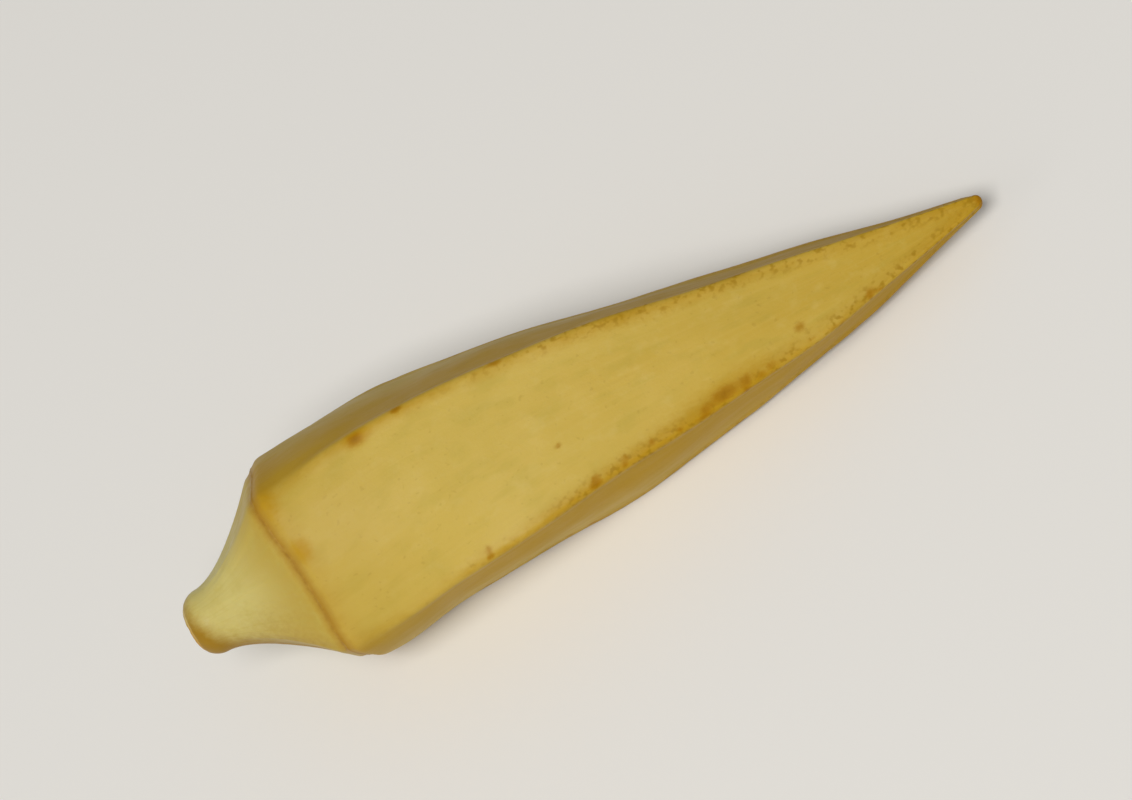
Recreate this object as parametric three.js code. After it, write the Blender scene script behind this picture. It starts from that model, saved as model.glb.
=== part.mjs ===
// A pickled baby okra pod, trimmed to a cone at the stem, lying on one of its five sides.
// Millimetres, +Z up. The pod runs along X: cut stem at -X, pointed tip at +X.
// Its broad side faces -Y and up. The origin is the middle of its bounding box's underside.
import * as THREE from "three";

// Lengths along the pod.
const POD_LENGTH = 50; // cut stem to tip
const CAP_LENGTH = 7.65; // cut stem to the calyx scar

// The trimmed stem and cap: a knob, then a hollow cone.
const STEM_RADIUS = 1.95; // just above the cut
const STEM_EDGE = 1.3; // rounding of the cut's edge
const CAP_CONE_RADIUS = 5.5; // the knife's cone, where it meets the scar
const HOLLOW_POWER = 1.55; // how late the cone widens
const CORNER_POWER = 1.5; // how late it turns five-sided

// The calyx scar and the shoulder past it.
const SCAR_SLANT = 0.45; // the scar is slanted by this much either way
const SCAR_SLANT_ANGLE = 340; // direction in which it lies further from the stem
const SCALLOP = 0.3; // how far it runs towards the tip in the sides' middles, against the ridges
const RIM_SHARE = 0.95; // the cap's rim against the pod's section there
const SCAR_DEPTH = 0.3;
const SCAR_WIDTH = 0.36; // half width of the groove
const SHOULDER_LENGTH = 2; // over which the pod swells out of the scar
const SHOULDER_POWER = 1.3;

// Axis to ridge crest, by share of the body's length.
const CREST_RADIUS = 7.65;
const TIP_RADIUS = 0.42; // blunt remnant of the style
const TAPER_START = 1.62;
const TAPER_END = 0.95;
const BEAK_DEPTH = 0.12; // the last stretch is drawn in by this share
const BEAK_FROM = 0.75;
const BEAK_TO = 0.97;

// The five-sided section. Angles are in degrees, from -Y upwards round the axis.
// One side is broad and the other four are alike: the pod grew a little squashed.
const RIDGE_ANGLES = [14, 101, 171, 234, 300];
const TWIST_AT_SCAR = -3;
const TWIST_AT_TIP = 5;
const TWIST_SHARE = 0.45; // of the pod's length, by which the ridges have turned
const CORNERS_AT_SCAR = 11; // sharpness of the corners
const CORNERS_FURTHER_ON = 19;
const CORNERS_TO = 0.35;
const ROUNDNESS_AT_SCAR = 0.3; // 0 is flat-sided, 1 is a circle
const ROUNDNESS_FURTHER_ON = 0.16;
const ROUNDNESS_TO = 0.3;
const BEAK_HOLLOW = 0.22; // the sides turn hollow towards the tip
const BEAK_HOLLOW_FROM = 0.6;
const BEAK_HOLLOW_TO = 0.95;
const RIDGE_HEIGHT = 0.2; // rib that stands on each ridge
const RIDGE_WIDTH = 0.6; // half width of that rib
const RIDGE_AT_TIP = 0.35; // share of the rib that is left at the tip
const RIDGE_RISE = 0.12; // the rib rises over this share of the body, from the scar
const RIDGE_FADE = 0.7; // and sinks from this share on

// The axis is straight in the cap, and bends in a shallow S across the broad side from the scar on.
const BEND = 0.42;
const BEND_LENGTH = 55; // of one full wave
const BEND_RISE = 8; // it sets in over this length past the scar

// Soft dents of the pickled flesh: depth, length along the pod, waves round it, phase.
const DENTS = [
  { depth: 0.09, length: 19, around: 2, phase: 1.1 },
  { depth: 0.045, length: 9.3, around: -3, phase: 0.4 },
];
const DENT_RISE = 6; // they fade in over this length past the scar
const DENT_FALL = 12; // and fade out over this length before the tip
const DENT_END = 2;

// How the pod lies.
const PITCH_DEG = 6; // the axis leans tip down, so that the tapered underside lies level
const FLAT_DEPTH = 0.13; // how far the underside is pressed flat by the weight

// Mesh density.
const COLUMNS_PER_SIDE = 16;
const RIDGE_CROWDING = 0.6; // 0 spaces a side's columns evenly, 1 crowds them on its ridges
const EDGE_ROWS = 5;
const CAP_ROWS = 13;
const BODY_ROWS = 44;
const ROW_CROWDING = 1.7; // crowds the body's rows towards the scar
const ROW_EASE = 0.55;

const rad = THREE.MathUtils.degToRad;
const { smoothstep, lerp } = THREE.MathUtils;
const FULL_TURN = 2 * Math.PI;

// Each side of the pod lies between two ridges: its first ridge, its middle and its half angle.
const SIDES = RIDGE_ANGLES.map((from, i) => {
  const to = i + 1 < RIDGE_ANGLES.length ? RIDGE_ANGLES[i + 1] : RIDGE_ANGLES[0] + 360;
  return { from: rad(from), middle: rad((from + to) / 2), half: rad((to - from) / 2) };
});

// The smallest turn from one direction to another.
function turnBetween(a, b) {
  const turns = (a - b) / FULL_TURN;
  return FULL_TURN * Math.abs(turns - Math.round(turns));
}

// 1 on a ridge, falling to 0 in the middle of a side.
function ridgeness(angle) {
  const shares = SIDES.map((side) => turnBetween(angle, side.middle) / side.half);
  return (1 - Math.cos(Math.PI * Math.min(1, ...shares))) / 2;
}

// How far the ridges have turned about the axis at a share t of the pod's body.
function twist(t) {
  return rad(lerp(TWIST_AT_SCAR, TWIST_AT_TIP, smoothstep(t, 0, TWIST_SHARE)));
}

// Axis to ridge crest: full at the shoulder, a long taper, and a drawn-out beak.
function crestRadius(t) {
  const taper = Math.pow(1 - Math.pow(t, TAPER_START), TAPER_END);
  const beak = 1 - BEAK_DEPTH * smoothstep(t, BEAK_FROM, BEAK_TO);
  return TIP_RADIUS + (CREST_RADIUS - TIP_RADIUS) * taper * beak;
}

// Radius of a section with five flat sides and soft corners.
function flatSidedRadius(angle, crest, corners) {
  const sum = SIDES.reduce((total, side) => {
    const facing = Math.max(0, Math.cos(angle - side.middle));
    return total + Math.pow(facing / (crest * Math.cos(side.half)), corners);
  }, 0);
  return Math.pow(sum, -1 / corners);
}

// Height of the rib that stands on the nearest ridge.
function ribHeight(angle, crest, t) {
  const away = crest * Math.min(...RIDGE_ANGLES.map((ridge) => turnBetween(angle, rad(ridge))));
  const share = smoothstep(t, 0, RIDGE_RISE) * lerp(1, RIDGE_AT_TIP, smoothstep(t, RIDGE_FADE, 1));
  return RIDGE_HEIGHT * share * Math.exp(-Math.pow(away / RIDGE_WIDTH, 2));
}

// Radius of the pod's section: rounded near the cap, flat-sided further on, hollow-sided at the beak.
function sectionRadius(angle, t) {
  const crest = crestRadius(t);
  const corners = lerp(CORNERS_AT_SCAR, CORNERS_FURTHER_ON, smoothstep(t, 0, CORNERS_TO));
  const rounded = lerp(ROUNDNESS_AT_SCAR, ROUNDNESS_FURTHER_ON, smoothstep(t, 0, ROUNDNESS_TO));
  const hollow = BEAK_HOLLOW * smoothstep(t, BEAK_HOLLOW_FROM, BEAK_HOLLOW_TO);
  const flatSided = flatSidedRadius(angle, crest, corners);
  return lerp(flatSided, crest, rounded - hollow) + ribHeight(angle, crest, t);
}

// Height of the soft dents and swellings, at a distance s from the cut stem.
function dentHeight(s, angle) {
  const rise = smoothstep(s, CAP_LENGTH, CAP_LENGTH + DENT_RISE);
  const fall = smoothstep(POD_LENGTH - s, DENT_END, DENT_END + DENT_FALL);
  return DENTS.reduce((height, dent) => {
    const wave = Math.sin((FULL_TURN * s) / dent.length + dent.around * angle + dent.phase);
    return height + rise * fall * dent.depth * wave;
  }, 0);
}

// Distance from the cut stem to the scar, which is slanted and scalloped.
function scarPosition(angle) {
  const slant = SCAR_SLANT * Math.cos(angle + twist(0) - rad(SCAR_SLANT_ANGLE));
  return CAP_LENGTH + slant + SCALLOP * (0.5 - ridgeness(angle));
}

// Depth of the scar's groove, at a distance s from the cut stem.
function scarDepth(angle, s) {
  return SCAR_DEPTH * Math.exp(-Math.pow((s - scarPosition(angle)) / SCAR_WIDTH, 2));
}

// Radius of the trimmed cap at a share v of its length: a knife's cone that turns five-sided at the scar.
function capRadius(angle, v) {
  const cone = lerp(STEM_RADIUS, CAP_CONE_RADIUS, Math.pow(v, HOLLOW_POWER));
  const corner = RIM_SHARE * sectionRadius(angle, 0) - CAP_CONE_RADIUS;
  return cone + corner * Math.pow(v, CORNER_POWER);
}

// Radius of the body beyond the scar: it swells out of the groove to the pod's section.
function bodyRadius(angle, t, s) {
  const past = s - scarPosition(angle);
  const swelling = 1 - Math.exp(-Math.pow(past / SHOULDER_LENGTH, SHOULDER_POWER));
  const section = sectionRadius(angle, t) * lerp(RIM_SHARE, 1, swelling);
  return section - scarDepth(angle, s) + dentHeight(s, angle);
}

// A point of the surface, before the pod is laid down.
function surfacePoint(s, angle, radius) {
  const across = rad((RIDGE_ANGLES[0] + RIDGE_ANGLES[1]) / 2 + 90);
  const set = smoothstep(s, CAP_LENGTH, CAP_LENGTH + BEND_RISE);
  const bend = BEND * set * Math.sin((FULL_TURN * s) / BEND_LENGTH);
  const y = -bend * Math.cos(across) - radius * Math.cos(angle);
  const z = bend * Math.sin(across) + radius * Math.sin(angle);
  return new THREE.Vector3(s, y, z);
}

// Angles of the mesh's columns before the twist, closer together by the ridges, with one on each ridge.
function columnAngles() {
  return SIDES.flatMap((side) =>
    Array.from({ length: COLUMNS_PER_SIDE }, (_, k) => {
      const even = k / COLUMNS_PER_SIDE;
      const share = even - (RIDGE_CROWDING * Math.sin(FULL_TURN * even)) / FULL_TURN;
      return side.from + 2 * side.half * share;
    }),
  );
}

// Rows of the mesh from the cut stem to the tip, each a function from a column's angle to a point.
function surfaceRows() {
  const edgeRow = (share) => (angle) => {
    const turn = (share * Math.PI) / 2;
    const radius = STEM_RADIUS - STEM_EDGE * (1 - Math.sin(turn));
    return surfacePoint(STEM_EDGE * (1 - Math.cos(turn)), angle + twist(0), radius);
  };
  const capRow = (share) => (angle) => {
    const s = lerp(STEM_EDGE, scarPosition(angle), share);
    return surfacePoint(s, angle + twist(0), capRadius(angle, share) - scarDepth(angle, s));
  };
  const bodyRow = (share) => (angle) => {
    const t = Math.min(1, lerp(Math.pow(share, ROW_CROWDING), share, ROW_EASE * share));
    const s = lerp(scarPosition(angle), POD_LENGTH - TIP_RADIUS, t);
    return surfacePoint(s, angle + twist(t), bodyRadius(angle, t, s));
  };
  return [
    ...Array.from({ length: EDGE_ROWS + 1 }, (_, i) => edgeRow(i / EDGE_ROWS)),
    ...Array.from({ length: CAP_ROWS }, (_, i) => capRow((i + 1) / CAP_ROWS)),
    ...Array.from({ length: BODY_ROWS }, (_, i) => bodyRow((i + 1) / BODY_ROWS)),
  ];
}

// The whole surface as one closed mesh, with a fan over the cut stem and one over the tip.
function podSurface() {
  const angles = columnAngles();
  const rows = surfaceRows();
  const points = rows.flatMap((row) => angles.map(row));
  const stemCentre = points.push(surfacePoint(0, 0, 0)) - 1;
  const tipCentre = points.push(surfacePoint(POD_LENGTH, 0, 0)) - 1;
  const last = (rows.length - 1) * angles.length;
  const faces = angles.flatMap((_, k) => {
    const next = (k + 1) % angles.length;
    const ends = [stemCentre, k, next, tipCentre, last + next, last + k];
    const strip = rows.slice(1).flatMap((_row, i) => {
      const here = i * angles.length;
      const beyond = here + angles.length;
      return [here + k, beyond + k, beyond + next, here + k, beyond + next, here + next];
    });
    return [...ends, ...strip];
  });
  return { points, faces };
}

// Lays the pod down: leans it, presses its underside flat, and sets its box on the origin.
function layDown(points) {
  const lean = new THREE.Matrix4().makeRotationY(rad(PITCH_DEG));
  points.forEach((p) => p.applyMatrix4(lean));
  const floor = Math.min(...points.map((p) => p.z)) + FLAT_DEPTH;
  points.forEach((p) => p.setZ(Math.max(p.z, floor)));
  const centre = new THREE.Box3().setFromPoints(points).getCenter(new THREE.Vector3());
  points.forEach((p) => p.sub(new THREE.Vector3(centre.x, centre.y, floor)));
}

function okraPod() {
  const { points, faces } = podSurface();
  layDown(points);
  const geometry = new THREE.BufferGeometry().setFromPoints(points);
  geometry.setIndex(faces);
  geometry.computeVertexNormals();
  const skin = new THREE.MeshStandardMaterial({ color: 0xc6ac5c, roughness: 0.42, metalness: 0 });
  const mesh = new THREE.Mesh(geometry, skin);
  mesh.name = "okra_pod";
  return mesh;
}

const group = new THREE.Group();
group.add(okraPod());

export default group;
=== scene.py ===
"""A pickled baby okra pod on a pale table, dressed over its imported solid.

The pod's surface follows the formulas of its solid on a much finer mesh, and adds what is too small for
the solid: fibres, pucker lines, beaded ridges, the ragged scar, the knife's facets and the cut stem.
Lengths are in millimetres until a mesh is made. On the pod, s runs from the cut stem to the tip, and angles
run from -Y upwards round the axis.
"""

import logging
import math
from dataclasses import dataclass, field
from enum import Enum
from typing import Any

import bpy
import numpy as np
from mathutils import Matrix, Vector


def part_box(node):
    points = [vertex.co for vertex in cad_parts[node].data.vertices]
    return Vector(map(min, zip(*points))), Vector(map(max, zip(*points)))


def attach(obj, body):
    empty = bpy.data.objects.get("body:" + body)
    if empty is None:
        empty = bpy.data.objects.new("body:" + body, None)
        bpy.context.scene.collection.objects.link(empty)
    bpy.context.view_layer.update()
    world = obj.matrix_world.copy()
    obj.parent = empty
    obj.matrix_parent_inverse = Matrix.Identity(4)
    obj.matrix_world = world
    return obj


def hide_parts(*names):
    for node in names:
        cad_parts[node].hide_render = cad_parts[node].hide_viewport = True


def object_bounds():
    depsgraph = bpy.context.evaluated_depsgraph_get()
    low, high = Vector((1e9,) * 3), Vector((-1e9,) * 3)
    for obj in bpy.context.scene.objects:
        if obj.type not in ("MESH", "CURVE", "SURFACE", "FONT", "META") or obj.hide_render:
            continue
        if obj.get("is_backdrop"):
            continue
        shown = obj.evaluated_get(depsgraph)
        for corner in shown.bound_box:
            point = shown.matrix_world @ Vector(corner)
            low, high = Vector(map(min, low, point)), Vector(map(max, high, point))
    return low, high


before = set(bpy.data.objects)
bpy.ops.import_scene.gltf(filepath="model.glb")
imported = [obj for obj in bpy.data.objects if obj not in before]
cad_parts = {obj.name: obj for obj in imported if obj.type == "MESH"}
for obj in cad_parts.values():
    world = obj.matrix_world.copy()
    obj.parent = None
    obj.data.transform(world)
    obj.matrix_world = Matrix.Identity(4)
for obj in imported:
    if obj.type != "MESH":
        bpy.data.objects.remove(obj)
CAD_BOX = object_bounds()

Array = np.ndarray
NODE = "okra_pod"
BODY = "root"
METRES = 0.001
FULL_TURN = 2 * math.pi
FLESH_IOR = 1.4
BRINE_IOR = 1.34
log = logging.getLogger("okra")


def ease(value: Array | float, start: float, end: float) -> Array:
    """Rises smoothly from 0 at start to 1 at end."""
    share = np.clip((value - start) / (end - start), 0, 1)
    return share * share * (3 - 2 * share)


def blend(low: Array | float, high: Array | float, share: Array | float) -> Array:
    """Goes from low at share 0 to high at share 1."""
    return low + (high - low) * share


def hump(distance: Array, width: float) -> Array:
    """A soft hump: 1 at distance 0, fading over width."""
    return np.exp(-((distance / width) ** 2))


def turn_between(a: Array, b: Array | float) -> Array:
    """The smallest turn between two directions, in radians."""
    turns = (a - b) / FULL_TURN
    return FULL_TURN * np.abs(turns - np.round(turns))


@dataclass(frozen=True)
class Grain:
    """Seeded smooth noise over the unrolled surface, closed round the pod.

    Attributes:
        seed: Fixes the pattern.
        around: Number of cells round the pod.
        along: Length of a cell along the pod, in mm.
        height: How far it goes up and down, in mm.
    """

    seed: int
    around: int
    along: float
    height: float

    def at(self, s: Array, angle: Array) -> Array:
        """Reads the noise.

        Args:
            s: Place along the pod, in mm.
            angle: Direction, before the twist.

        Returns:
            The height, in mm.
        """
        u = np.maximum(s / self.along, 0) + 0 * angle
        v = angle / FULL_TURN * self.around + 0 * s
        i = np.floor(u).astype(int)
        j = np.floor(v).astype(int)
        lattice = np.random.default_rng(self.seed).uniform(-1, 1, (int(i.max()) + 2, self.around))
        near, far = (
            blend(lattice[row, j % self.around], lattice[row, (j + 1) % self.around], ease(v - j, 0, 1))
            for row in (i, i + 1)
        )
        return self.height * blend(near, far, ease(u - i, 0, 1))


@dataclass(frozen=True)
class Dent:
    """A soft wave of the pickled flesh: its depth and length in mm, waves round the pod, and phase."""

    depth: float
    length: float
    around: int
    phase: float


@dataclass(frozen=True)
class PodForm:
    """The pod's main form, by the same driving dimensions as its solid. Lengths in mm, angles in degrees."""

    length: float = 50.0
    cap_length: float = 7.65
    stem_radius: float = 1.95
    stem_edge: float = 1.3
    cap_cone_radius: float = 5.5
    hollow_power: float = 1.55
    corner_power: float = 1.5
    scar_slant: float = 0.45
    scar_slant_angle: float = 340.0
    scallop: float = 0.3
    rim_share: float = 0.95
    scar_depth: float = 0.3
    scar_width: float = 0.36
    shoulder_length: float = 2.0
    shoulder_power: float = 1.3
    crest_radius: float = 7.65
    tip_radius: float = 0.42
    taper_start: float = 1.62
    taper_end: float = 0.95
    beak_depth: float = 0.12
    beak: tuple[float, float] = (0.75, 0.97)
    ridge_angles: tuple[float, ...] = (14, 101, 171, 234, 300)
    twist_at_scar: float = -3.0
    twist_at_tip: float = 5.0
    twist_share: float = 0.45
    corners: tuple[float, float] = (11, 19)
    corners_to: float = 0.35
    roundness: tuple[float, float] = (0.3, 0.16)
    roundness_to: float = 0.3
    beak_hollow: float = 0.22
    beak_hollow_over: tuple[float, float] = (0.6, 0.95)
    rib_height: float = 0.2
    rib_width: float = 0.6
    rib_at_tip: float = 0.35
    rib_rise: float = 0.12
    rib_fade: float = 0.7
    bend: float = 0.42
    bend_length: float = 55.0
    bend_rise: float = 8.0
    dents: tuple[Dent, ...] = (Dent(0.09, 19.0, 2, 1.1), Dent(0.045, 9.3, -3, 0.4))
    dent_rise: float = 6.0
    dent_fall: float = 12.0
    dent_end: float = 2.0
    pitch: float = 6.0
    flat_depth: float = 0.13

    @property
    def ridges(self) -> Array:
        """Directions of the ridges, in radians."""
        return np.radians(self.ridge_angles)

    @property
    def ends(self) -> Array:
        """Where the side past each ridge ends, in radians."""
        return np.append(self.ridges[1:], self.ridges[0] + FULL_TURN)

    @property
    def middles(self) -> Array:
        """Middle directions of the sides, in radians."""
        return (self.ridges + self.ends) / 2

    @property
    def halves(self) -> Array:
        """Half angles of the sides, in radians."""
        return (self.ends - self.ridges) / 2

    def twist(self, t: Array | float) -> Array:
        """How far the ridges have turned about the axis at a share t of the body, in radians."""
        return np.radians(blend(self.twist_at_scar, self.twist_at_tip, ease(t, 0, self.twist_share)))

    def ridgeness(self, angle: Array) -> Array:
        """1 on a ridge, falling to 0 in the middle of a side."""
        shares = turn_between(angle[..., None], self.middles) / self.halves
        return (1 - np.cos(np.pi * np.clip(shares.min(-1), 0, 1))) / 2

    def crest(self, t: Array) -> Array:
        """Axis to ridge crest at a share t of the body, in mm."""
        taper = (1 - t**self.taper_start) ** self.taper_end
        beak = 1 - self.beak_depth * ease(t, *self.beak)
        return self.tip_radius + (self.crest_radius - self.tip_radius) * taper * beak

    def from_ridge(self, angle: Array, t: Array) -> Array:
        """Distance round the surface to the nearest ridge, in mm."""
        return self.crest(t) * turn_between(angle[..., None], self.ridges).min(-1)

    def off_broad(self, angle: Array, t: Array) -> Array:
        """Distance round the surface off the broad side, in mm, or less than 0 on it."""
        return self.crest(t) * (turn_between(angle, self.middles[0]) - self.halves[0])

    def section(self, angle: Array, t: Array) -> Array:
        """Radius of the five-sided section.

        Args:
            angle: Direction, before the twist.
            t: Share of the body's length.

        Returns:
            The radius, in mm.
        """
        crest = self.crest(t)
        corners = blend(*self.corners, ease(t, 0, self.corners_to))
        facing = np.clip(np.cos(angle[..., None] - self.middles), 0, None)
        reach = facing / (crest[..., None] * np.cos(self.halves))
        flat_sided = (reach ** corners[..., None]).sum(-1) ** (-1 / corners)
        rounded = blend(*self.roundness, ease(t, 0, self.roundness_to))
        hollow = self.beak_hollow * ease(t, *self.beak_hollow_over)
        rib_share = ease(t, 0, self.rib_rise) * blend(1, self.rib_at_tip, ease(t, self.rib_fade, 1))
        rib = self.rib_height * rib_share * hump(self.from_ridge(angle, t), self.rib_width)
        return blend(flat_sided, crest, rounded - hollow) + rib

    def dent_height(self, s: Array, angle: Array) -> Array:
        """Height of the soft dents.

        Args:
            s: Place along the pod, in mm.
            angle: Direction, before the twist.

        Returns:
            The height, in mm.
        """
        rise = ease(s, self.cap_length, self.cap_length + self.dent_rise)
        fall = ease(self.length - s, self.dent_end, self.dent_end + self.dent_fall)
        waves = (d.depth * np.sin(FULL_TURN * s / d.length + d.around * angle + d.phase) for d in self.dents)
        return rise * fall * sum(waves)

    def scar(self, angle: Array) -> Array:
        """Distance from the cut stem to the slanted and scalloped scar, in mm."""
        slant = self.scar_slant * np.cos(angle + self.twist(0) - math.radians(self.scar_slant_angle))
        return self.cap_length + slant + self.scallop * (0.5 - self.ridgeness(angle))

    def groove(self, past: Array) -> Array:
        """Depth of the groove along the scar, by the distance past it, in mm."""
        return self.scar_depth * hump(past, self.scar_width)

    def cap(self, angle: Array, v: float) -> Array:
        """Radius of the trimmed cap.

        Args:
            angle: Direction, before the twist.
            v: Share of the cap's length, from the cut's rounded edge to the scar.

        Returns:
            The radius, in mm.
        """
        cone = blend(self.stem_radius, self.cap_cone_radius, v**self.hollow_power)
        corner = self.rim_share * self.section(angle, np.zeros_like(angle)) - self.cap_cone_radius
        return cone + corner * v**self.corner_power

    def body(self, angle: Array, t: Array, s: Array) -> Array:
        """Radius of the body past the scar.

        Args:
            angle: Direction, before the twist.
            t: Share of the body's length.
            s: Place along the pod, in mm.

        Returns:
            The radius, in mm.
        """
        past = np.maximum(s - self.scar(angle), 0)
        swelling = 1 - np.exp(-((past / self.shoulder_length) ** self.shoulder_power))
        return self.section(angle, t) * blend(self.rim_share, 1, swelling) + self.dent_height(s, angle)

    def place(self, s: Array, angle: Array, radius: Array) -> Array:
        """Points of the surface in the pod's own frame, pitched as it lies.

        Args:
            s: Place along the pod, in mm.
            angle: Direction round the axis, with the twist.
            radius: Distance from the axis, in mm.

        Returns:
            Points, in mm.
        """
        across = self.middles[0] + np.pi / 2
        set_in = ease(s, self.cap_length, self.cap_length + self.bend_rise)
        bend = self.bend * set_in * np.sin(FULL_TURN * s / self.bend_length)
        y = -bend * np.cos(across) - radius * np.cos(angle)
        z = bend * np.sin(across) + radius * np.sin(angle)
        cosine, sine = math.cos(math.radians(self.pitch)), math.sin(math.radians(self.pitch))
        return np.stack([s * cosine + z * sine, y, z * cosine - s * sine], -1)


@dataclass(frozen=True)
class SkinRelief:
    """What stands on the body's form and is too fine for its solid. Heights and lengths in mm.

    Near the scar the ridges are eased, and the beads and gutters along them only fade in there.
    """

    sway: Grain = Grain(3, 7, 9.0, 0.08)
    fade_in: float = 2.0
    fibres: tuple[Grain, ...] = (Grain(11, 88, 7.0, 0.004), Grain(12, 131, 4.0, 0.004))
    beads: Grain = Grain(21, 20, 1.3, 0.02)
    crest_height: float = 0.03
    crest_width: float = 0.25
    crest_rise: float = 9.0
    easing_depth: float = 0.17
    easing_width: float = 1.2
    easing_reach: tuple[float, float] = (1.0, 11.0)
    gutter_depth: float = 0.035
    gutter_place: float = 0.62
    gutter_width: float = 0.25
    puckers: Grain = Grain(31, 70, 3.0, 0.022)
    pucker_length: float = 1.5
    seed_spacing: float = 3.3
    seed_height: float = 0.05
    seed_width: float = 1.5
    seed_rows: tuple[float, float] = (12.0, 40.0)
    seed_fade: float = 6.0
    row_phase: float = 1.9
    scab_depth: float = 0.04
    shrivel: Grain = Grain(61, 12, 0.5, 0.07)
    shrivel_length: float = 1.8

    def height(self, form: PodForm, s: Array, angle: Array, t: Array, past: Array) -> Array:
        """Height of the skin's relief.

        Args:
            form: The pod's main form.
            s: Place along the pod, in mm.
            angle: Direction, before the twist.
            t: Share of the body's length.
            past: Distance past the ragged scar, in mm.

        Returns:
            The height, in mm.
        """
        thick = np.sqrt(form.crest(t) / form.crest_radius)
        aside = form.from_ridge(angle, t)
        clear = ease(past, 0, self.fade_in)
        sharp = ease(past, *self.easing_reach)
        fibres = sum(grain.at(s, angle) for grain in self.fibres)
        sway = self.sway.at(s, angle) * clear
        beaded = self.crest_height + self.beads.at(s, angle)
        crest = beaded * hump(aside, self.crest_width) * ease(past, 0, self.crest_rise)
        crest -= self.easing_depth * hump(aside, self.easing_width) * clear * (1 - sharp)
        gutter = self.gutter_depth * hump(aside - self.gutter_place, self.gutter_width) * sharp
        pucker = self.puckers.at(s, angle) * np.exp(-past / self.pucker_length)
        shrivel = self.shrivel.at(s, angle) * ease(s, form.length - self.shrivel_length, form.length)
        return thick * (fibres + sway + crest - gutter + self.seeds(form, s, angle, t)) + pucker + shrivel

    def seeds(self, form: PodForm, s: Array, angle: Array, t: Array) -> Array:
        """Faint swellings over the row of seeds under each side.

        Args:
            form: The pod's main form.
            s: Place along the pod, in mm.
            angle: Direction, before the twist.
            t: Share of the body's length.

        Returns:
            The height, in mm.
        """
        off_middle = form.crest(t)[..., None] * turn_between(angle[..., None], form.middles)
        phases = np.arange(len(form.ridge_angles)) * self.row_phase
        rows = (0.5 + 0.5 * np.cos(FULL_TURN * s[..., None] / self.seed_spacing + phases)) ** 2
        swelling = (rows * hump(off_middle, self.seed_width)).sum(-1)
        first, last = self.seed_rows
        reach = ease(s, first, first + self.seed_fade) * (1 - ease(s, last - self.seed_fade, last))
        return self.seed_height * swelling * reach


@dataclass(frozen=True)
class ScarEdge:
    """How the calyx tore off: the scar wanders from its smooth line, and is torn finely along it."""

    wander: Grain = Grain(41, 13, 60.0, 0.07)
    tear: Grain = Grain(42, 120, 60.0, 0.03)

    def at(self, form: PodForm, angle: Array) -> Array:
        """Distance from the cut stem to the ragged scar, in mm."""
        still = np.zeros_like(angle)
        return form.scar(angle) + self.wander.at(still, angle) + self.tear.at(still, angle)


@dataclass(frozen=True)
class CapRelief:
    """Relief of the trimmed cap: the knife's long facets and the flesh's fibres. Heights in mm.

    The facets differ in width by uneven waves, each with its reach in radians, waves round the pod and phase.
    """

    facets: int = 9
    facet_share: float = 0.45
    facet_drift: float = 0.05
    facet_fade: float = 0.5
    uneven: tuple[tuple[float, int, float], ...] = ((0.12, 2, 0.7), (0.08, 3, 2.1))
    fibres: Grain = Grain(51, 74, 3.5, 0.018)
    fibre_rise: float = 0.4

    def height(self, s: Array, angle: Array, v: float, radius: Array) -> Array:
        """Height of the cap's relief.

        Args:
            s: Place along the pod, in mm.
            angle: Direction, before the twist.
            v: Share of the cap's length.
            radius: The cap's smooth radius there, in mm.

        Returns:
            The height, in mm.
        """
        half = np.pi / self.facets
        uneven = sum(reach * np.sin(count * angle + phase) for reach, count, phase in self.uneven)
        turned = (angle + uneven + self.facet_drift * s) % (2 * half) - half
        # The corners stand out by this share of the radius, and the flats cut in by twice as much.
        raised = half**2 / 6
        facet = radius * (np.cos(half) / np.cos(turned) - 1 + raised)
        strength = math.sin(math.pi * min(1.0, v)) ** self.facet_fade
        fibres = self.fibres.at(s, angle) * ease(v, 0, self.fibre_rise)
        return self.facet_share * facet * strength + fibres


@dataclass(frozen=True)
class CutRelief:
    """Relief of the sliced stem end: a sunken pith inside a raised ring, with faint knife marks.

    The face bows by the first part of its rounded edge, over a turn of bow, in radians.
    """

    bow: float = 0.75
    pith_dip: float = 0.14
    pith_edge: tuple[float, float] = (0.2, 0.57)
    ring_rise: float = 0.05
    ring_share: float = 0.8
    ring_width: float = 0.12
    fade_from: float = 0.85
    marks: Grain = Grain(71, 26, 0.35, 0.02)
    mark_rise: float = 0.4
    mark_fade_from: float = 0.9

    def depth(self, share: Array, radius: Array, angle: Array) -> Array:
        """How deep the sliced face lies.

        Args:
            share: Share of the face's radius.
            radius: Distance from the axis, in mm.
            angle: Direction, before the twist.

        Returns:
            The depth, in mm.
        """
        dip = self.pith_dip * (1 - ease(share, *self.pith_edge))
        ring = self.ring_rise * (1 - hump(share - self.ring_share, self.ring_width))
        marked = ease(share, 0, self.mark_rise) * (1 - ease(share, self.mark_fade_from, 1))
        marks = self.marks.at(radius, angle) * marked
        return (dip + ring) * (1 - ease(share, self.fade_from, 1)) + marks


@dataclass(frozen=True)
class Fleck:
    """A stain or a patch of painted shade: its place in mm and degrees, half its length and width in mm, and
    its strength.
    """

    s: float
    angle: float
    length: float
    width: float
    strength: float

    def cover(self, s: Array, angle: Array, radius: Array) -> Array:
        """How much the fleck covers, from 0 to its strength."""
        aside = radius * turn_between(angle, math.radians(self.angle))
        return self.strength * hump(s - self.s, self.length) * hump(aside, self.width)


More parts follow.
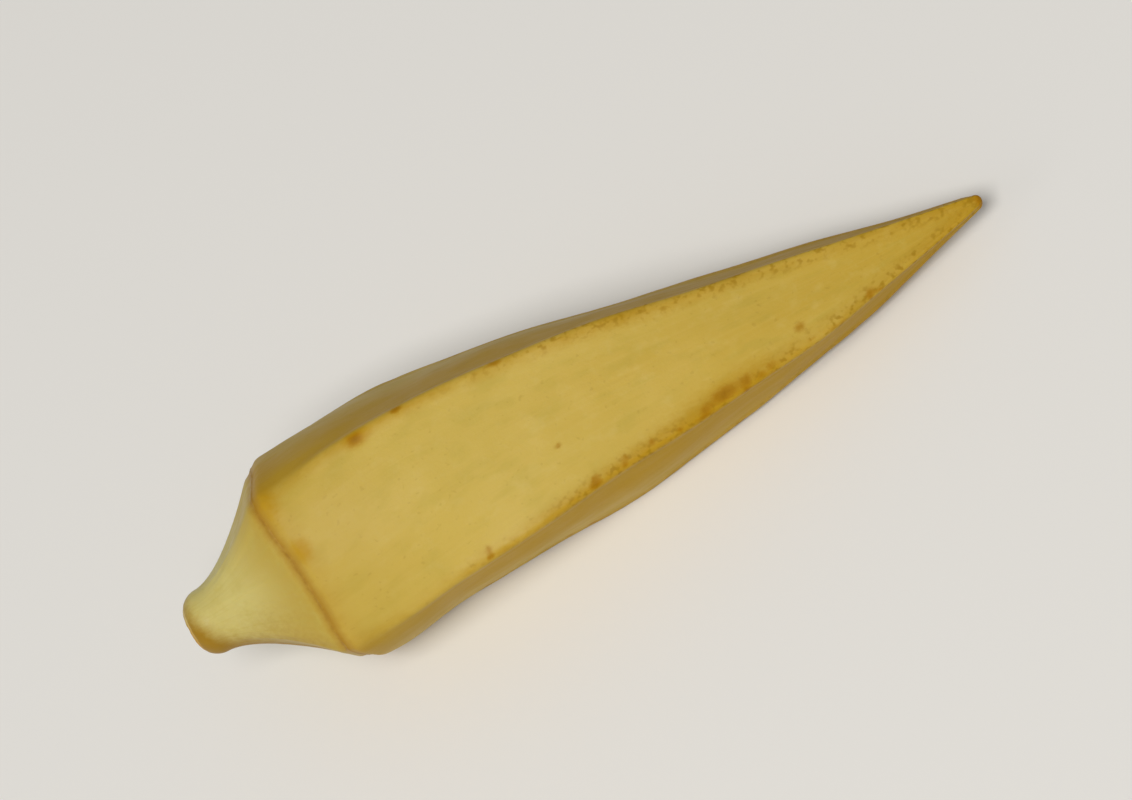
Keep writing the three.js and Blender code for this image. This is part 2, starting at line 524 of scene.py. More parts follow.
@dataclass(frozen=True)
class Stains:
    """The golden and brown stain flecks of the brined pod, mostly on its ridges, and golden painted shade on
    the cap's lower side. Ridge directions are in degrees.

    Each small scattered fleck is drawn between the limits given here, in the order of a fleck's measures.
    """

    lower: float = PodForm.ridge_angles[0]
    upper: float = PodForm.ridge_angles[1]
    hidden: tuple[float, ...] = PodForm.ridge_angles[2:]
    seed: int = 5
    per_ridge: int = 18
    along: tuple[float, float] = (15.0, 44.0)
    aside: tuple[float, float] = (-2.0, 5.0)
    lengths: tuple[float, float] = (0.15, 0.45)
    widths: tuple[float, float] = (0.13, 0.24)
    strengths: tuple[float, float] = (0.3, 0.65)

    def golden(self) -> list[Fleck]:
        """Golden stain flecks, wide and soft, and golden painted shade over the lower side of the cap and the
        nub.
        """
        return [
            Fleck(26.0, self.lower, 13.0, 0.5, 0.7),
            Fleck(33.0, self.lower + 3, 5.0, 1.2, 0.6),
            Fleck(16.5, self.upper - 1, 5.0, 0.4, 0.5),
            Fleck(14.1, self.upper - 2, 0.8, 0.5, 0.9),
            Fleck(30.0, self.upper - 2, 9.0, 0.7, 0.5),
            # Painted shade: golden casts over the lower side of the cap and the nub, where shade falls.
            Fleck(5.8, -14.0, 3.2, 3.4, 0.55),
            Fleck(2.4, -34.0, 2.8, 1.8, 0.85),
            Fleck(0.5, 0.0, 0.75, 2.4, 0.85),
            Fleck(0.7, -45.0, 1.1, 2.4, 0.85),
            Fleck(0.4, 150.0, 0.6, 2.4, 0.4),
            Fleck(0.5, 235.0, 0.7, 2.0, 0.6),
            Fleck(8.6, 70.0, 0.7, 0.8, 0.85),
            Fleck(8.0, 98.0, 0.9, 1.6, 0.7),
            Fleck(8.8, 128.0, 1.6, 2.2, 0.5),
            Fleck(49.8, 50.0, 5.0, 9.0, 0.5),
            *(Fleck(25.0, ridge, 10.0, 0.55, 0.6) for ridge in self.hidden),
        ]

    def brown(self) -> list[Fleck]:
        """Rusty flecks: the larger ones that show, and small ones scattered along ridges by a seeded draw."""
        draw = np.random.default_rng(self.seed)
        seen = [
            Fleck(14.0, self.upper - 2, 0.5, 0.3, 0.75),
            Fleck(16.7, self.upper, 0.35, 0.2, 0.8),
            Fleck(22.6, self.upper, 0.5, 0.2, 0.6),
            Fleck(17.4, self.lower + 1, 0.25, 0.18, 0.6),
            Fleck(24.3, self.lower + 1, 0.4, 0.2, 0.75),
            Fleck(32.7, self.lower + 5, 0.8, 0.32, 0.75),
            Fleck(31.4, self.lower + 3, 0.4, 0.24, 0.6),
            Fleck(34.1, self.lower + 5, 0.4, 0.26, 0.6),
            Fleck(23.5, 42.0, 0.28, 0.18, 0.5),
            Fleck(38.0, self.lower + 16, 0.4, 0.25, 0.5),
            Fleck(50.1, 50.0, 0.5, 3.0, 0.8),
        ]
        scattered = [
            Fleck(
                draw.uniform(*self.along),
                ridge + draw.uniform(*self.aside),
                draw.uniform(*self.lengths),
                draw.uniform(*self.widths),
                draw.uniform(*self.strengths),
            )
            for ridge in (self.lower, *self.hidden)
            for _ in range(self.per_ridge)
        ]
        return seen + scattered


def covered(flecks: list[Fleck], s: Array, angle: Array, radius: Array) -> Array:
    """Lays flecks over each other.

    Args:
        flecks: The flecks.
        s: Place along the pod, in mm.
        angle: Direction, before the twist.
        radius: Distance from the axis, in mm.

    Returns:
        The share that is covered, from 0 to 1.
    """
    bare = np.ones_like(radius)
    for fleck in flecks:
        bare = bare * (1 - fleck.cover(s, angle, radius))
    return 1 - bare


def linear(hex_colour: str) -> tuple[float, float, float, float]:
    """Turns an sRGB colour to the linear one that a shader takes.

    Args:
        hex_colour: The colour as #rrggbb.

    Returns:
        Linear red, green and blue, and an alpha of 1.
    """
    parts = (int(hex_colour[i : i + 2], 16) / 255 for i in (1, 3, 5))
    red, green, blue = (p / 12.92 if p <= 0.04045 else ((p + 0.055) / 1.055) ** 2.4 for p in parts)
    return red, green, blue, 1.0


def add(tree: bpy.types.NodeTree, kind: str, inputs: dict[str, Any], take: str = "", **settings: Any) -> Any:
    """Adds a node, sets it up and fills its inputs.

    Args:
        tree: The material's node tree.
        kind: The node's type.
        inputs: For each input, by its identifier, a value or the output that it is linked to.
        take: The output to return, by its identifier.
        settings: The node's own properties.

    Returns:
        The output named by take, or the node.
    """
    made = tree.nodes.new(kind)
    for name, value in settings.items():
        setattr(made, name, value)
    for name, value in inputs.items():
        socket = next(s for s in made.inputs if s.identifier == name)
        if isinstance(value, bpy.types.NodeSocket):
            tree.links.new(value, socket)
        else:
            socket.default_value = value
    return next(s for s in made.outputs if s.identifier == take) if take else made


def put_in_scene(name: str, data: Any) -> bpy.types.Object:
    """Makes an object of a mesh, light or camera, and puts it in the scene."""
    made = bpy.data.objects.new(name, data)
    bpy.context.scene.collection.objects.link(made)
    return made


class Mark(Enum):
    """The measures that the pod's mesh carries for its finishes."""

    GRAIN = "grain"
    FLESH = "flesh"
    PAST_SCAR = "past_scar"
    FROM_RIDGE = "from_ridge"
    OFF_BROAD = "off_broad"
    FROM_AXIS = "from_axis"
    GOLD = "gold"
    BROWN = "brown"


@dataclass(frozen=True)
class Pattern:
    """A natural irregular pattern, about 0.5 on average, by the real size of its marks.

    Attributes:
        along: Length of a mark along the pod, in mm.
        across: Width of a mark round the pod, in mm.
        detail: How many finer copies are laid over it.
        rough: How strong those are.
        space: Whether it is drawn on the unrolled skin or through the flesh.
    """

    along: float
    across: float
    detail: float = 2.0
    rough: float = 0.5
    space: Mark = Mark.GRAIN


@dataclass(frozen=True)
class Band:
    """A share that follows a measure or a pattern: low up to start, high from end.

    Attributes:
        source: The measure or pattern.
        start: Where low ends.
        end: Where high starts.
        low: The share before start.
        high: The share past end.
        ragged: A pattern that moves the band's edges.
        reach: How far it moves them, from one side to the other.
    """

    source: Mark | Pattern
    start: float
    end: float
    low: float = 0.0
    high: float = 1.0
    ragged: Pattern | None = None
    reach: float = 0.0


@dataclass(frozen=True)
class Coat:
    """A colour, as sRGB hex, laid over those before it by the product of its bands."""

    colour: str
    bands: tuple[Band, ...]


# Patterns of relief, each with its height in mm.
Relief = tuple[tuple[Pattern, float], ...]


@dataclass
class Mixture:
    """A material's node tree as it is made, with the outputs of the measures and patterns it has so far."""

    tree: bpy.types.NodeTree
    read: dict[Any, Any] = field(default_factory=dict)

    def coloured(self, base: str, coats: tuple[Coat, ...]) -> Any:
        """Lays coats over a base colour.

        Args:
            base: The colour underneath, as sRGB hex.
            coats: The colours laid over it, in order.

        Returns:
            The colour's output, or the base colour where there are no coats.
        """
        colour: Any = linear(base)
        for coat in coats:
            shares = [self.share(band) for band in coat.bands]
            product = shares[0]
            for share in shares[1:]:
                both = {"Value": product, "Value_001": share}
                product = add(self.tree, "ShaderNodeMath", both, "Value", operation="MULTIPLY")
            laid = {"Factor_Float": product, "A_Color": colour, "B_Color": linear(coat.colour)}
            colour = add(self.tree, "ShaderNodeMix", laid, "Result_Color", data_type="RGBA")
        return colour

    def raised(self, relief: Relief) -> Any:
        """Sums the finest relief.

        Args:
            relief: Its patterns and their heights.

        Returns:
            The output of the surface's direction.
        """
        total: Any = 0.0
        for pattern, height in relief:
            total = self.summed(pattern, height * METRES, total)
        return add(self.tree, "ShaderNodeBump", {"Distance": 1.0, "Height": total}, "Normal")

    def share(self, band: Band) -> Any:
        """Works out a band.

        Args:
            band: The band.

        Returns:
            The share's output.
        """
        value = self.value(band.source)
        if band.ragged:
            value = self.summed(band.ragged, band.reach, value)
        shift = band.reach / 2
        limits = {"From Min": band.start + shift, "From Max": band.end + shift}
        inputs = {"Value": value, **limits, "To Min": band.low, "To Max": band.high}
        return add(self.tree, "ShaderNodeMapRange", inputs, "Result", interpolation_type="SMOOTHSTEP")

    def summed(self, pattern: Pattern, times: float, total: Any) -> Any:
        """Adds a pattern, times a number, to a total."""
        term = {"Value": self.value(pattern), "Value_001": times, "Value_002": total}
        return add(self.tree, "ShaderNodeMath", term, "Value", operation="MULTIPLY_ADD")

    def value(self, source: Mark | Pattern) -> Any:
        """Reads a measure of the mesh or draws a pattern, once in each tree.

        Args:
            source: The measure or pattern.

        Returns:
            Its output.
        """
        if source not in self.read and isinstance(source, Mark):
            take = "Vector" if source in (Mark.GRAIN, Mark.FLESH) else "Fac"
            self.read[source] = add(self.tree, "ShaderNodeAttribute", {}, take, attribute_name=source.value)
        elif source not in self.read:
            cells = (1 / source.along, 1 / source.across, 1 / source.across)
            scaled = {"Vector": self.value(source.space), "Vector_001": cells}
            place = add(self.tree, "ShaderNodeVectorMath", scaled, "Vector", operation="MULTIPLY")
            noise = {"Vector": place, "Scale": 1.0, "Detail": source.detail, "Roughness": source.rough}
            self.read[source] = add(self.tree, "ShaderNodeTexNoise", noise, "Fac")
        return self.read[source]


@dataclass(frozen=True)
class Finish:
    """A moist plant surface that lets some light in. Each kind of it sets its own colours and relief.

    Attributes:
        name: The material's name.
        base: The colour underneath, as sRGB hex.
        coats: The colours laid over it, in order.
        relief: Patterns of the finest relief, each with its height in mm.
        roughness: How rough the surface is.
        sheen: How strongly it reflects, where a smooth dry surface has 0.5.
        film: Share of it under a film of brine.
        film_roughness: How rough the film is.
        depth: How far light goes in, in mm.
        depth_share: Share of the light that goes in.
        spread: How far red, green and blue go, as shares of the depth.
    """

    name: str
    base: str
    coats: tuple[Coat, ...] = ()
    relief: Relief = ()
    roughness: Band | float = 0.4
    sheen: float = 0.1
    film: float = 0.08
    film_roughness: float = 0.24
    depth: float = 1.2
    depth_share: float = 0.25
    spread: tuple[float, float, float] = (1.0, 0.78, 0.3)

    def material(self) -> bpy.types.Material:
        """Makes the material.

        Returns:
            The material, with all its nodes.
        """
        made = bpy.data.materials.new(self.name)
        made.use_nodes = True
        tree = made.node_tree
        tree.nodes.clear()
        mixture = Mixture(tree)
        varied = isinstance(self.roughness, Band)
        inputs = {
            "Base Color": mixture.coloured(self.base, self.coats),
            "Roughness": mixture.share(self.roughness) if varied else self.roughness,
            "IOR": FLESH_IOR,
            "Specular IOR Level": self.sheen,
            "Subsurface Weight": self.depth_share,
            "Subsurface Radius": self.spread,
            "Subsurface Scale": self.depth * METRES,
            "Coat Weight": self.film,
            "Coat Roughness": self.film_roughness,
            "Coat IOR": BRINE_IOR,
        }
        if self.relief:
            inputs["Normal"] = mixture.raised(self.relief)
        shader = add(tree, "ShaderNodeBsdfPrincipled", inputs, "BSDF")
        add(tree, "ShaderNodeOutputMaterial", {"Surface": shader})
        return made


# Patterns of the flesh. Real threads are about 0.05 mm wide, too fine to show, so they are drawn coarser.
DRIFT = Pattern(14.0, 5.0)
MOTTLE = Pattern(2.2, 1.2, 3.0)
CLOUD = Pattern(1.1, 0.9, 3.0, 0.6, Mark.FLESH)
FIBRE = Pattern(9.0, 0.45, 2.0)
THREAD = Pattern(5.0, 0.18, 1.0)
SPECKLE = Pattern(0.34, 0.3, 1.0, 0.5, Mark.FLESH)
PORE = Pattern(0.2, 0.16, 2.0, 0.5, Mark.FLESH)
TORN = Pattern(0.5, 0.32, 3.0, 0.65, Mark.FLESH)

# Where a stain shows through torn flesh.
TATTERED = Band(TORN, 0.3, 0.6, 0.3, 1.0)


@dataclass(frozen=True)
class BrinedSkin(Finish):
    """Okra's skin, blanched and cured in brine: it has lost its green and its fuzz, and lets some light in.

    The eye sees a satin straw-yellow flesh with faint fibres, golden ridges and rusty flecks.
    """

    name: str = "brined_okra_skin"
    base: str = "#cbb055"
    coats: tuple[Coat, ...] = (
        Coat("#bf9b30", (Band(Mark.PAST_SCAR, 4.0, 44.0, 0.0, 0.75, DRIFT, 30.0),)),
        Coat("#aa983a", (Band(MOTTLE, 0.45, 0.75, 0.0, 0.25),)),
        Coat("#d3bd70", (Band(CLOUD, 0.5, 0.75, 0.0, 0.22),)),
        Coat("#d6c274", (Band(FIBRE, 0.5, 0.72, 0.0, 0.07),)),
        Coat("#a5822e", (Band(THREAD, 0.55, 0.8, 0.0, 0.05),)),
        # Painted shade: the sides beside the broad side are painted a deeper gold, as if turned from the
        # light, most next to the broad side's ridges and less further round.
        Coat("#b48b08", (Band(Mark.OFF_BROAD, -0.15, 0.7, 0.0, 0.9),
                         Band(Mark.OFF_BROAD, 2.0, 8.0, 1.0, 0.3))),
        Coat("#b0881a", (Band(Mark.FROM_RIDGE, 0.0, 0.9, 0.6, 0.0), Band(MOTTLE, 0.35, 0.65, 0.4, 1.0))),
        # Painted shade: the body is darkened most up to 2 mm past the scar, fading out by 9 mm, against the
        # light that its swelling shoulder catches.
        Coat("#b29334", (Band(Mark.PAST_SCAR, 2.0, 9.0, 0.35, 0.0),)),
        Coat("#b0892c", (Band(Mark.PAST_SCAR, 0.0, 2.2, 0.55, 0.0), Band(MOTTLE, 0.35, 0.65, 0.5, 1.0))),
        Coat("#b48a10", (Band(Mark.GOLD, 0.15, 0.85, 0.0, 0.85, TORN, 0.4),)),
        Coat("#9c7a2a", (Band(SPECKLE, 0.66, 0.78, 0.0, 0.2),)),
        Coat("#9a7408", (Band(Mark.FROM_RIDGE, 0.1, 0.8, 0.65, 0.0), Band(SPECKLE, 0.48, 0.7),
                         Band(Mark.PAST_SCAR, 6.0, 16.0, 0.0, 1.0, DRIFT, 30.0))),
        Coat("#a67400", (Band(Mark.BROWN, 0.1, 0.55, 0.0, 0.8, TORN, 0.35),)),
        Coat("#865a00", (Band(Mark.BROWN, 0.4, 1.0, 0.0, 0.6, TORN, 0.5),)),
        Coat("#aa8028", (Band(Mark.PAST_SCAR, 0.1, 0.6, 0.6, 0.0, TORN, 0.25),)),
        Coat("#9a6e20", (Band(Mark.PAST_SCAR, 0.0, 0.25, 0.6, 0.0, TORN, 0.14), TATTERED)),
    )
    relief: Relief = ((FIBRE, 0.005), (THREAD, 0.004), (PORE, 0.009), (SPECKLE, 0.008))
    roughness: Band | float = Band(MOTTLE, 0.3, 0.7, 0.44, 0.56)


@dataclass(frozen=True)
class PeeledCap(Finish):
    """Flesh under the pared calyx, cut to a cone with a knife and cured in brine.

    The eye sees a smooth creamy cone, yellower by the scar and burnt gold along the edge of the cut, with
    golden painted shade on its lower side.
    """

    name: str = "peeled_okra_cap"
    base: str = "#c8ba72"
    coats: tuple[Coat, ...] = (
        Coat("#b6983a", (Band(Mark.PAST_SCAR, -4.5, -0.3, 0.0, 0.85, DRIFT, 2.0),)),
        Coat("#bcaa58", (Band(CLOUD, 0.45, 0.75, 0.0, 0.4),)),
        Coat("#b7a450", (Band(FIBRE, 0.5, 0.75, 0.0, 0.25),)),
        # Burnt gold at the cut's edge, and golden painted shade on the cap's lower side.
        Coat("#987214", (Band(Mark.GOLD, 0.05, 0.75, 0.0, 0.95, TORN, 0.3),)),
        Coat("#aa8028", (Band(Mark.PAST_SCAR, -0.6, -0.1, 0.0, 0.6, TORN, 0.25),)),
        Coat("#9a6e20", (Band(Mark.PAST_SCAR, -0.24, -0.03, 0.0, 0.6, TORN, 0.14), TATTERED)),
    )
    relief: Relief = ((FIBRE, 0.006), (PORE, 0.009))
    roughness: Band | float = Band(CLOUD, 0.3, 0.7, 0.36, 0.48)
    depth: float = 1.7
    depth_share: float = 0.35


@dataclass(frozen=True)
class SlicedStem(Finish):
    """The stem's end, sliced square with a knife.

    The eye sees a pale rind round a ring of tan strands, and a darker porous pith in the middle.
    """

    name: str = "sliced_okra_stem"
    base: str = "#b5a355"
    coats: tuple[Coat, ...] = (
        Coat("#8f7c38", (Band(Mark.FROM_AXIS, 0.5, 0.95, 0.8, 0.0, CLOUD, 0.3), Band(PORE, 0.4, 0.62))),
        Coat("#ccb974", (Band(Mark.FROM_AXIS, 1.1, 1.35, 0.0, 1.0, CLOUD, 0.3),)),
        Coat("#9a7428", (Band(Mark.FROM_AXIS, 0.85, 1.05, 0.0, 1.0, CLOUD, 0.3),
                         Band(Mark.FROM_AXIS, 1.12, 1.3, 1.0, 0.0, CLOUD, 0.3),
                         Band(PORE, 0.4, 0.6, 0.2, 0.9))),
        Coat("#b4801b", (Band(Mark.GOLD, 0.35, 0.9, 0.0, 0.7, TORN, 0.35),)),
    )
    relief: Relief = ((PORE, 0.05),)
    roughness: Band | float = Band(PORE, 0.3, 0.7, 0.42, 0.58)
    film: float = 0.1
    depth_share: float = 0.3


@dataclass(frozen=True)
class PaintedBoard(Finish):
    """A smooth board painted matt: it takes a soft shadow and almost no reflection."""

    name: str = "matt_painted_board"
    base: str = "#e8e6e2"
    roughness: Band | float = 0.7
    sheen: float = 0.5
    film: float = 0.0
    depth_share: float = 0.0


class Region(Enum):
    """The stretches of the pod's surface, by the finish they get."""

    SKIN = BrinedSkin()
    CAP = PeeledCap()
    CUT = SlicedStem()


@dataclass
class Ring:
    """One ring of the pod's mesh. Lengths in mm.

    Attributes:
        region: The stretch of the surface that ends with this ring.
        s: Distance from the cut stem.
        radius: Distance from the axis.
        smooth: The same, without the relief.
        past: Distance past the ragged scar.
        t: Share of the body's length.
    """

    region: Region
    s: Array
    radius: Array
    smooth: Array
    past: Array
    t: float = 0.0


@dataclass
class OkraPod:
    """The whole pod as one closed mesh.

    Attributes:
        form: The main form.
        scar_edge: How the calyx tore off.
        skin: Relief of the body.
        cap: Relief of the trimmed cap.
        cut: Relief of the sliced stem.
        stains: The golden and brown stain flecks, and the golden painted shade on the cap's lower side.
        columns: Points round the pod.
        ridge_crowding: How far the columns crowd to the ridges.
        stem_rings: Rings of the stem's end, up to the cap's cone.
        cap_rings: Rings from there to the scar.
        body_rings: Rings from the scar to the tip's rounding.
        tip_rings: Rings of the rounded tip.
        ring_crowding: How far the body's rings crowd to the scar.
        ring_evening: How far they even out again towards the tip.
        grain_radius: Radius in mm at which the skin is unrolled for its patterns.
    """

    form: PodForm = PodForm()
    scar_edge: ScarEdge = ScarEdge()
    skin: SkinRelief = SkinRelief()
    cap: CapRelief = CapRelief()
    cut: CutRelief = CutRelief()
    stains: Stains = Stains()
    columns: int = 360
    ridge_crowding: float = 0.45
    stem_rings: int = 24
    cap_rings: int = 54
    body_rings: int = 184
    tip_rings: int = 5
    ring_crowding: float = 1.6
    ring_evening: float = 0.6
    grain_radius: float = 7.0
    angle: Array = field(init=False)
    scar: Array = field(init=False)
    rings: list[Ring] = field(init=False)

    def __post_init__(self) -> None:
        """Works out the columns, closer together by the ridges, and the ragged scar on each."""
        sides = []
        for start, half in zip(self.form.ridges, self.form.halves):
            count = round(self.columns * 2 * half / FULL_TURN)
            even = np.arange(count) / count
            crowding = self.ridge_crowding * np.sin(FULL_TURN * even) / FULL_TURN
            sides.append(start + 2 * half * (even - crowding))
        self.angle = np.concatenate(sides)
        self.scar = self.scar_edge.at(self.form, self.angle)

    def build(self) -> bpy.types.Object:
        """Makes the pod's mesh, dresses it and sets it in the frame.

        Returns:
            The finished piece.
        """
        self.rings = self.rounded_stem() + self.trimmed_cap() + self.ridged_body()
        self.rings += self.rounded_tip(self.rings[-1])
        piece = put_in_scene("okra_pod_skin", self.mesh())
        for region in Region:
            piece.data.materials.append(region.value.material())
        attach(piece, BODY)
        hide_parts(NODE)
        return piece

    def rounded_stem(self) -> list[Ring]:
        """Rings of the stem's end, from its middle outwards: the sliced face and its rounded edge."""
        edge = self.form.stem_edge
        face = self.form.stem_radius - edge
        bowed = face + edge * math.sin(self.cut.bow)
        rings = []
        for i in range(1, self.stem_rings + 1):
            radius = self.form.stem_radius * math.sin(math.pi / 2 * i / self.stem_rings) + 0 * self.angle
            turn = np.arcsin(np.clip((radius - face) / edge, 0, 1))
            s = edge * (1 - np.cos(turn)) + self.cut.depth(radius / bowed, radius, self.angle)
            region = Region.CUT if radius[0] <= bowed else Region.CAP
            rings.append(Ring(region, s, radius, radius, s - self.scar))
        return rings

    def trimmed_cap(self) -> list[Ring]:
        """Rings of the trimmed cap, up to the scar."""
        rings = []
        for i in range(1, self.cap_rings + 1):
            v = i / self.cap_rings
            s = blend(self.form.stem_edge, self.scar, v)
            smooth = self.form.cap(self.angle, v)
            past = s - self.scar
            radius = smooth - self.form.groove(past) + self.cap.height(s, self.angle, v, smooth)
            rings.append(Ring(Region.CAP, s, radius, smooth, past))
        return rings

    def ridged_body(self) -> list[Ring]:
        """Rings of the ridged body, from the scar to the tip's rounding."""
        rings = []
        end = self.form.length - self.form.tip_radius
        for i in range(1, self.body_rings + 1):
            share = i / self.body_rings
            t = min(1.0, blend(share**self.ring_crowding, share, self.ring_evening * share))
            s = blend(self.scar, end, t)
            past = s - self.scar
            shares = np.full_like(self.angle, t)
            smooth = self.form.body(self.angle, shares, s)
            scab = self.skin.scab_depth * covered(self.stains.brown(), s, self.angle, smooth)
            relief = self.skin.height(self.form, s, self.angle, shares, past)
            radius = smooth - self.form.groove(past) - scab + relief
            rings.append(Ring(Region.SKIN, s, radius, smooth, past, t))
        return rings

    def rounded_tip(self, last: Ring) -> list[Ring]:
        """Rings of the rounded tip.

        Args:
            last: The body's last ring.

        Returns:
            The rings past it.
        """
        rings = []
        for i in range(1, self.tip_rings):
            turn = math.pi / 2 * i / self.tip_rings
            s = last.s + self.form.tip_radius * math.sin(turn)
            radius = last.radius * math.cos(turn)
            rings.append(Ring(Region.SKIN, s, radius, radius, s - self.scar, 1.0))
        return rings

    def stacked(self, measure: str) -> Array:
        """One measure of all the rings, a row for each ring."""
        return np.stack([getattr(ring, measure) + 0 * self.angle for ring in self.rings])

    def mesh(self) -> bpy.types.Mesh:
        """Turns the rings to a closed mesh that lies as the solid does.

        Returns:
            The mesh, in metres.
        """
        s, radius, smooth, t = (self.stacked(measure) for measure in ("s", "radius", "smooth", "t"))
        turned = self.angle + self.form.twist(t)
        ends = np.array([self.rings[0].s.mean(), self.form.length])
        points = np.concatenate([
            self.form.place(s, turned, radius).reshape(-1, 3),
            self.form.place(ends, np.zeros(2), np.zeros(2)),
        ])
        points = self.laid_down(points, self.form.place(s, turned, smooth).reshape(-1, 3))
        made = bpy.data.meshes.new("okra_pod_skin")
        made.from_pydata((points * METRES).tolist(), [], self.faces())
        self.mark(made, s, radius, t)
        made.shade_smooth()
        return made

    def laid_down(self, points: Array, smooth: Array) -> Array:
        """Sets the pod in its solid's box and presses the underside flat.

        Args:
            points: Points of the detailed surface, in mm.
            smooth: Points of the smooth form, in mm, by which the pod is set.

        Returns:
            The points where the solid is, in mm.
        """
        low, high = (np.array(corner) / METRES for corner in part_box(NODE))
        middle = (smooth.min(0) + smooth.max(0)) / 2
        origin = np.array([middle[0], middle[1], smooth[:, 2].min() + self.form.flat_depth])
        placed = points - origin + np.array([(low[0] + high[0]) / 2, (low[1] + high[1]) / 2, low[2]])
        placed[:, 2] = np.maximum(placed[:, 2], low[2])
        return placed

    def faces(self) -> list[tuple[int, ...]]:
        """Lists the mesh's faces, ring by ring, with a fan over each end."""
        around = len(self.angle)
        here = np.arange(around)
        beyond = (here + 1) % around
        starts = range(0, (len(self.rings) - 1) * around, around)
        corners = (here, here + around, beyond + around, beyond)
        strips = np.concatenate([np.stack([start + corner for corner in corners], -1) for start in starts])
        stem = len(self.rings) * around
        last = stem - around
        fans = [(stem, int(a), int(b)) for a, b in zip(here, beyond)]
        fans += [(stem + 1, int(last + b), int(last + a)) for a, b in zip(here, beyond)]
        return [tuple(face) for face in strips.tolist()] + fans

    def mark(self, made: bpy.types.Mesh, s: Array, radius: Array, t: Array) -> None:
        """Writes the measures that the finishes read, and each face's finish.

        Args:
            made: The pod's mesh.
            s: Place along the pod, in mm.
            radius: Distance from the axis, in mm.
            t: Share of the body's length.
        """
        angle = self.angle + 0 * s
        across = np.stack([np.cos(angle), np.sin(angle)], -1)
        measures = {
            Mark.GRAIN: np.concatenate([s[..., None], self.grain_radius * across], -1),
            Mark.FLESH: np.concatenate([s[..., None], radius[..., None] * across], -1),
            Mark.PAST_SCAR: self.stacked("past"),
            Mark.FROM_RIDGE: self.form.from_ridge(angle, t),
            Mark.OFF_BROAD: self.form.off_broad(angle, t),
            Mark.FROM_AXIS: radius,
            Mark.GOLD: covered(self.stains.golden(), s, angle, radius),
            Mark.BROWN: covered(self.stains.brown(), s, angle, radius),
        }
        for mark, values in measures.items():
            kind, key = ("FLOAT_VECTOR", "vector") if values.ndim == 3 else ("FLOAT", "value")
            ends = np.stack([values[0].mean(0), values[-1].mean(0)])
            flat = np.concatenate([values.reshape(-1, *values.shape[2:]), ends]).astype(np.float32)
            made.attributes.new(mark.value, kind, "POINT").data.foreach_set(key, flat.ravel())
        regions = [ring.region for ring in self.rings[1:]] + [Region.CUT, Region.SKIN]
        slots = [list(Region).index(region) for region in regions]
        made.polygons.foreach_set("material_index", np.repeat(slots, len(self.angle)))


@dataclass(frozen=True)
class PaleTable:
    """A pale table top, level with the pod's underside. Its width is in metres."""

    width: float = 6.0
    finish: Finish = PaintedBoard()

    def build(self) -> None:
        """Makes the table top."""
        half = self.width / 2
        corners = [(-half, -half, 0), (half, -half, 0), (half, half, 0), (-half, half, 0)]
        made = bpy.data.meshes.new("pale_table")
        made.from_pydata(corners, [], [(0, 1, 2, 3)])
        made.materials.append(self.finish.material())
        table = put_in_scene("pale_table", made)
        table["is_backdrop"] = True


@dataclass(frozen=True)
class Stand:
    """Where something stands, seen from the pod.

    Attributes:
        azimuth: In degrees round from -Y towards +X.
        elevation: Above the table, in degrees.
    """

    azimuth: float
    elevation: float

    @property
    def back(self) -> Vector:
        """The way from the pod to it, of length 1."""
        turn, rise = math.radians(self.azimuth), math.radians(self.elevation)
        return Vector((math.sin(turn) * math.cos(rise), -math.cos(turn) * math.cos(rise), math.sin(rise)))


@dataclass(frozen=True)
class SoftBox(Stand):
    """A studio light behind a square diffuser.

    Attributes:
        name: What it is called.
        distance: From the pod, in metres.
        size: Width of its face, in metres.
        power: In watts.
        colour: Of its light, as sRGB hex.
    """

    name: str
    distance: float
    size: float
    power: float
    colour: str = "#ffffff"

    def build(self, target: Vector) -> None:
        """Makes the light and turns it to the pod.

        Args:
            target: The middle of the pod.
        """
        lamp = bpy.data.lights.new(self.name, "AREA")
        lamp.shape = "SQUARE"
        lamp.size = self.size
        lamp.energy = self.power
        lamp.color = linear(self.colour)[:3]
        light = put_in_scene(self.name, lamp)
        light.location = target + self.distance * self.back
        light.rotation_euler = self.back.to_track_quat("Z", "Y").to_euler()


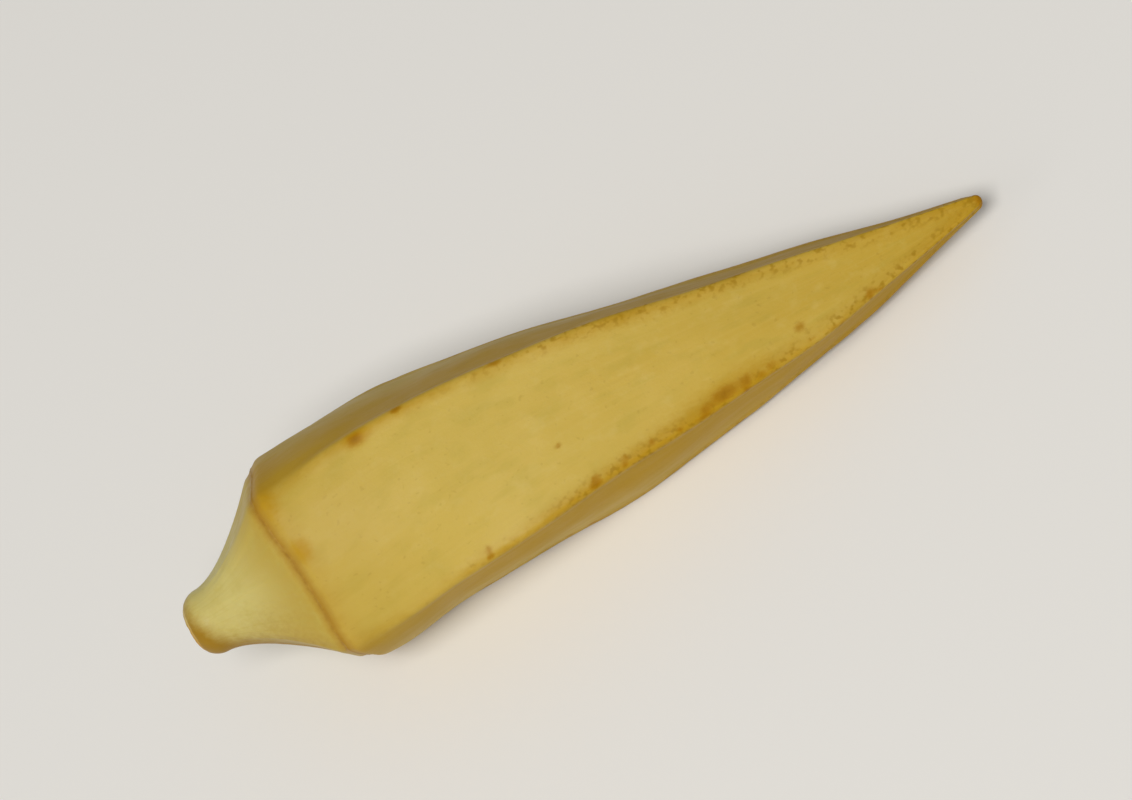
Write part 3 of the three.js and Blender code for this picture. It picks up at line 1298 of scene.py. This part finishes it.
@dataclass(frozen=True)
class Viewpoint(Stand):
    """The camera: it looks down on the pod's broad side, turned so that the pod points up to the right.

    Attributes:
        tilt: Of the pod's axis in the picture, in degrees up to the right.
        lens: Focal length in mm, long because the pod is seen from far off.
        fill: Share of the picture's width that the pod's length would take if it lay level in it.
        sensor: Width of the sensor, in mm.
        reach: The nearest and farthest that it sees, in metres.
    """

    azimuth: float = 19.3
    elevation: float = 56.0
    tilt: float = 28.0
    lens: float = 150.0
    fill: float = 0.8
    sensor: float = 36.0
    reach: tuple[float, float] = (0.01, 50.0)

    def build(self, low: Vector, high: Vector) -> None:
        """Makes the camera and makes it the scene's.

        Args:
            low: Lowest corner of the pod's box.
            high: Highest corner of the pod's box.
        """
        back = self.back
        level = Stand(self.azimuth + 90, 0).back
        upright = back.cross(level)
        axis = Vector((high.x - low.x, 0.0, (low.z - high.z) / 2))
        roll = math.atan2(axis.dot(upright), axis.dot(level)) - math.radians(self.tilt)
        right = math.cos(roll) * level + math.sin(roll) * upright
        distance = (high.x - low.x) / self.fill * self.lens / self.sensor
        data = bpy.data.cameras.new("camera")
        data.lens = self.lens
        data.sensor_width = self.sensor
        data.clip_start, data.clip_end = self.reach
        camera = put_in_scene("camera", data)
        turned = Matrix((right, back.cross(right), back)).transposed().to_4x4()
        camera.matrix_world = Matrix.Translation((low + high) / 2 + distance * back) @ turned
        bpy.context.scene.camera = camera


@dataclass(frozen=True)
class Studio:
    """The table, the lights, the sky's even glow and the camera."""

    table: PaleTable = PaleTable()
    lights: tuple[SoftBox, ...] = (
        SoftBox(-12.0, 62.0, "key_softbox", 0.9, 0.42, 6.4, "#fffdf9"),
        SoftBox(-75.0, 30.0, "stem_side_softbox", 0.8, 0.3, 0.4),
    )
    sky: str = "#f1f2f3"
    sky_strength: float = 0.24
    viewpoint: Viewpoint = Viewpoint()

    def build(self, low: Vector, high: Vector) -> None:
        """Sets the studio up round the pod.

        Args:
            low: Lowest corner of the pod's box.
            high: Highest corner of the pod's box.
        """
        self.table.build()
        for light in self.lights:
            light.build((low + high) / 2)
        world = bpy.data.worlds.new("soft_sky")
        world.use_nodes = True
        world.node_tree.nodes.clear()
        glow = {"Color": linear(self.sky), "Strength": self.sky_strength}
        background = add(world.node_tree, "ShaderNodeBackground", glow, "Background")
        add(world.node_tree, "ShaderNodeOutputWorld", {"Surface": background})
        bpy.context.scene.world = world
        bpy.context.scene.view_settings.view_transform = "Standard"
        self.viewpoint.build(low, high)


def main() -> None:
    """Builds the studio and the pod."""
    logging.basicConfig(level=logging.INFO, format="%(message)s")
    low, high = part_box(NODE)
    Studio().build(low, high)
    log.info("studio is set up round %s", NODE)
    pod = OkraPod().build()
    log.info("%s has %d vertices and %d faces", pod.name, len(pod.data.vertices), len(pod.data.polygons))
    boxes = {"cad": CAD_BOX, "visual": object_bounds()}
    {name: [list(corner) for corner in box] for name, box in boxes.items()}


if __name__ == "__main__":
    main()
